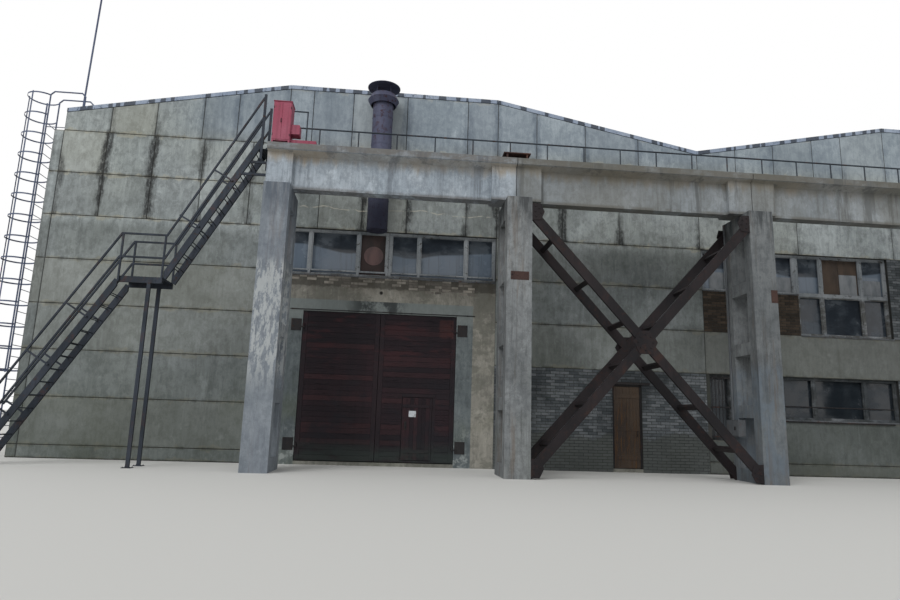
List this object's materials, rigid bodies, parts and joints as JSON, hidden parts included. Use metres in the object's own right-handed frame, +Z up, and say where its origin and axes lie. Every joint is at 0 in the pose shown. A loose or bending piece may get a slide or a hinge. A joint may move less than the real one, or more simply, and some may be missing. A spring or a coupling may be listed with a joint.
{
  "type": "factory building",
  "caption": "Factory hall of precast concrete panels with bent gables, timber gates, ribbon windows, and a concrete crane trestle with stair and caged ladder along its front.",
  "frame": {"origin": "middle of the whole part's footprint, on the ground", "axes": "+X along the front wall to the right as seen from the front, +Y from the front wall into the hall, +Z up"},
  "size_m": [37.765, 20.995, 13.4722],
  "materials": {
    "floor_slab": "worn concrete floor",
    "left_bay_wall": "weathered precast concrete",
    "gate_wall_left": "weathered precast concrete",
    "gate_wall_right": "weathered precast concrete",
    "gate_surround_left": "painted concrete, dirty",
    "gate_surround_right": "painted concrete, dirty",
    "gate_lintel": "painted concrete, dirty",
    "gate_spandrel": "plaster over brick",
    "upper_front_wall": "weathered precast concrete",
    "bay3_panels": "weathered precast concrete",
    "door_brick_left": "pale silicate brick",
    "door_brick_right": "pale silicate brick",
    "door_brick_over": "pale silicate brick",
    "front_low_wall": "weathered precast concrete",
    "front_mid_wall": "weathered precast concrete",
    "front_brickwork": "brown brick",
    "left_wall": "weathered precast concrete",
    "right_wall": "weathered precast concrete",
    "rear_wall": "weathered precast concrete",
    "left_roof": "felted roof plates",
    "right_roof": "felted roof plates",
    "valley_frame": "weathered precast concrete",
    "roof_edge_trim": "weathered galvanised sheet",
    "upper_window_frames": "weathered paint",
    "lower_window_frames": "weathered paint",
    "upper_glass": "dusty glass",
    "lower_glass": "dusty glass",
    "gate_leaf_left": "stained boards",
    "gate_leaf_right": "stained boards",
    "wicket_door": "stained boards",
    "gate_hinge_brackets": "dark steel",
    "side_door_frame": "dark paint",
    "side_door": "bare planks",
    "pier_1": "weathered precast concrete",
    "pier_2": "weathered precast concrete",
    "pier_3": "weathered precast concrete",
    "pier_4": "weathered precast concrete",
    "pier_5": "weathered precast concrete",
    "pier_6": "weathered precast concrete",
    "trestle_beams": "stained concrete",
    "crane_rail": "rusted steel",
    "walkway": "dark paint, rust",
    "walkway_railing": "dark paint",
    "wall_ties": "dark paint, rust",
    "brace_rising": "pale paint, rust",
    "brace_falling": "pale paint, rust",
    "stair_lower_flight": "black paint",
    "stair_upper_flight": "black paint",
    "stair_landing": "black paint",
    "stair_rail_near": "black paint",
    "stair_rail_far": "black paint",
    "roof_ladder": "blue grey paint",
    "ladder_cage": "galvanised, dull",
    "vent_stack": "dark paint",
    "control_cabinet": "faded red paint",
    "pier_switch": "grey paint",
    "mast_rod": "grey paint"
  },
  "bodies": {
    "building": {"floor_slab": "floor_slab", "left_bay_wall": "left_bay_wall", "gate_wall_left": "gate_wall_left", "gate_wall_right": "gate_wall_right", "gate_surround_left": "gate_surround_left", "gate_surround_right": "gate_surround_right", "gate_lintel": "gate_lintel", "gate_spandrel": "gate_spandrel", "upper_front_wall": "upper_front_wall", "bay3_panels": "bay3_panels", "door_brick_left": "door_brick_left", "door_brick_right": "door_brick_right", "door_brick_over": "door_brick_over", "front_low_wall": "front_low_wall", "front_mid_wall": "front_mid_wall", "front_brickwork": "front_brickwork", "left_wall": "left_wall", "right_wall": "right_wall", "rear_wall": "rear_wall", "left_roof": "left_roof", "right_roof": "right_roof", "valley_frame": "valley_frame", "roof_edge_trim": "roof_edge_trim", "upper_window_frames": "upper_window_frames", "lower_window_frames": "lower_window_frames", "upper_glass": "upper_glass", "lower_glass": "lower_glass", "gate_hinge_brackets": "gate_hinge_brackets", "side_door_frame": "side_door_frame", "pier_1": "pier_1", "pier_2": "pier_2", "pier_3": "pier_3", "pier_4": "pier_4", "pier_5": "pier_5", "pier_6": "pier_6", "trestle_beams": "trestle_beams", "crane_rail": "crane_rail", "walkway": "walkway", "walkway_railing": "walkway_railing", "wall_ties": "wall_ties", "brace_rising": "brace_rising", "brace_falling": "brace_falling", "stair_lower_flight": "stair_lower_flight", "stair_upper_flight": "stair_upper_flight", "stair_landing": "stair_landing", "stair_rail_near": "stair_rail_near", "stair_rail_far": "stair_rail_far", "roof_ladder": "roof_ladder", "ladder_cage": "ladder_cage", "vent_stack": "vent_stack", "control_cabinet": "control_cabinet", "pier_switch": "pier_switch", "mast_rod": "mast_rod"},
    "left_leaf": {"gate_leaf_left": "gate_leaf_left"},
    "right_leaf": {"gate_leaf_right": "gate_leaf_right"},
    "wicket": {"wicket_door": "wicket_door"},
    "plank_door": {"side_door": "side_door"}
  },
  "joints": [
    {"name": "left_leaf_hinge", "type": "hinge", "parent": "building", "child": "left_leaf", "pos_m": [-10.54538, -7.5325, 2.08], "axis": [0, 0, -1], "range_deg": [0, 88]},
    {"name": "right_leaf_hinge", "type": "hinge", "parent": "building", "child": "right_leaf", "pos_m": [-6.45938, -7.5325, 2.08], "axis": [0, 0, 1], "range_deg": [0, 88]},
    {"name": "wicket_hinge", "type": "hinge", "parent": "right_leaf", "child": "wicket", "pos_m": [-7.02338, -7.5095, 0.985], "axis": [0, 0, 1], "range_deg": [0, 95]},
    {"name": "plank_door_hinge", "type": "hinge", "parent": "building", "child": "plank_door", "pos_m": [-2.02438, -7.4995, 1.175], "axis": [0, 0, -1], "range_deg": [0, 95]}
  ]
}
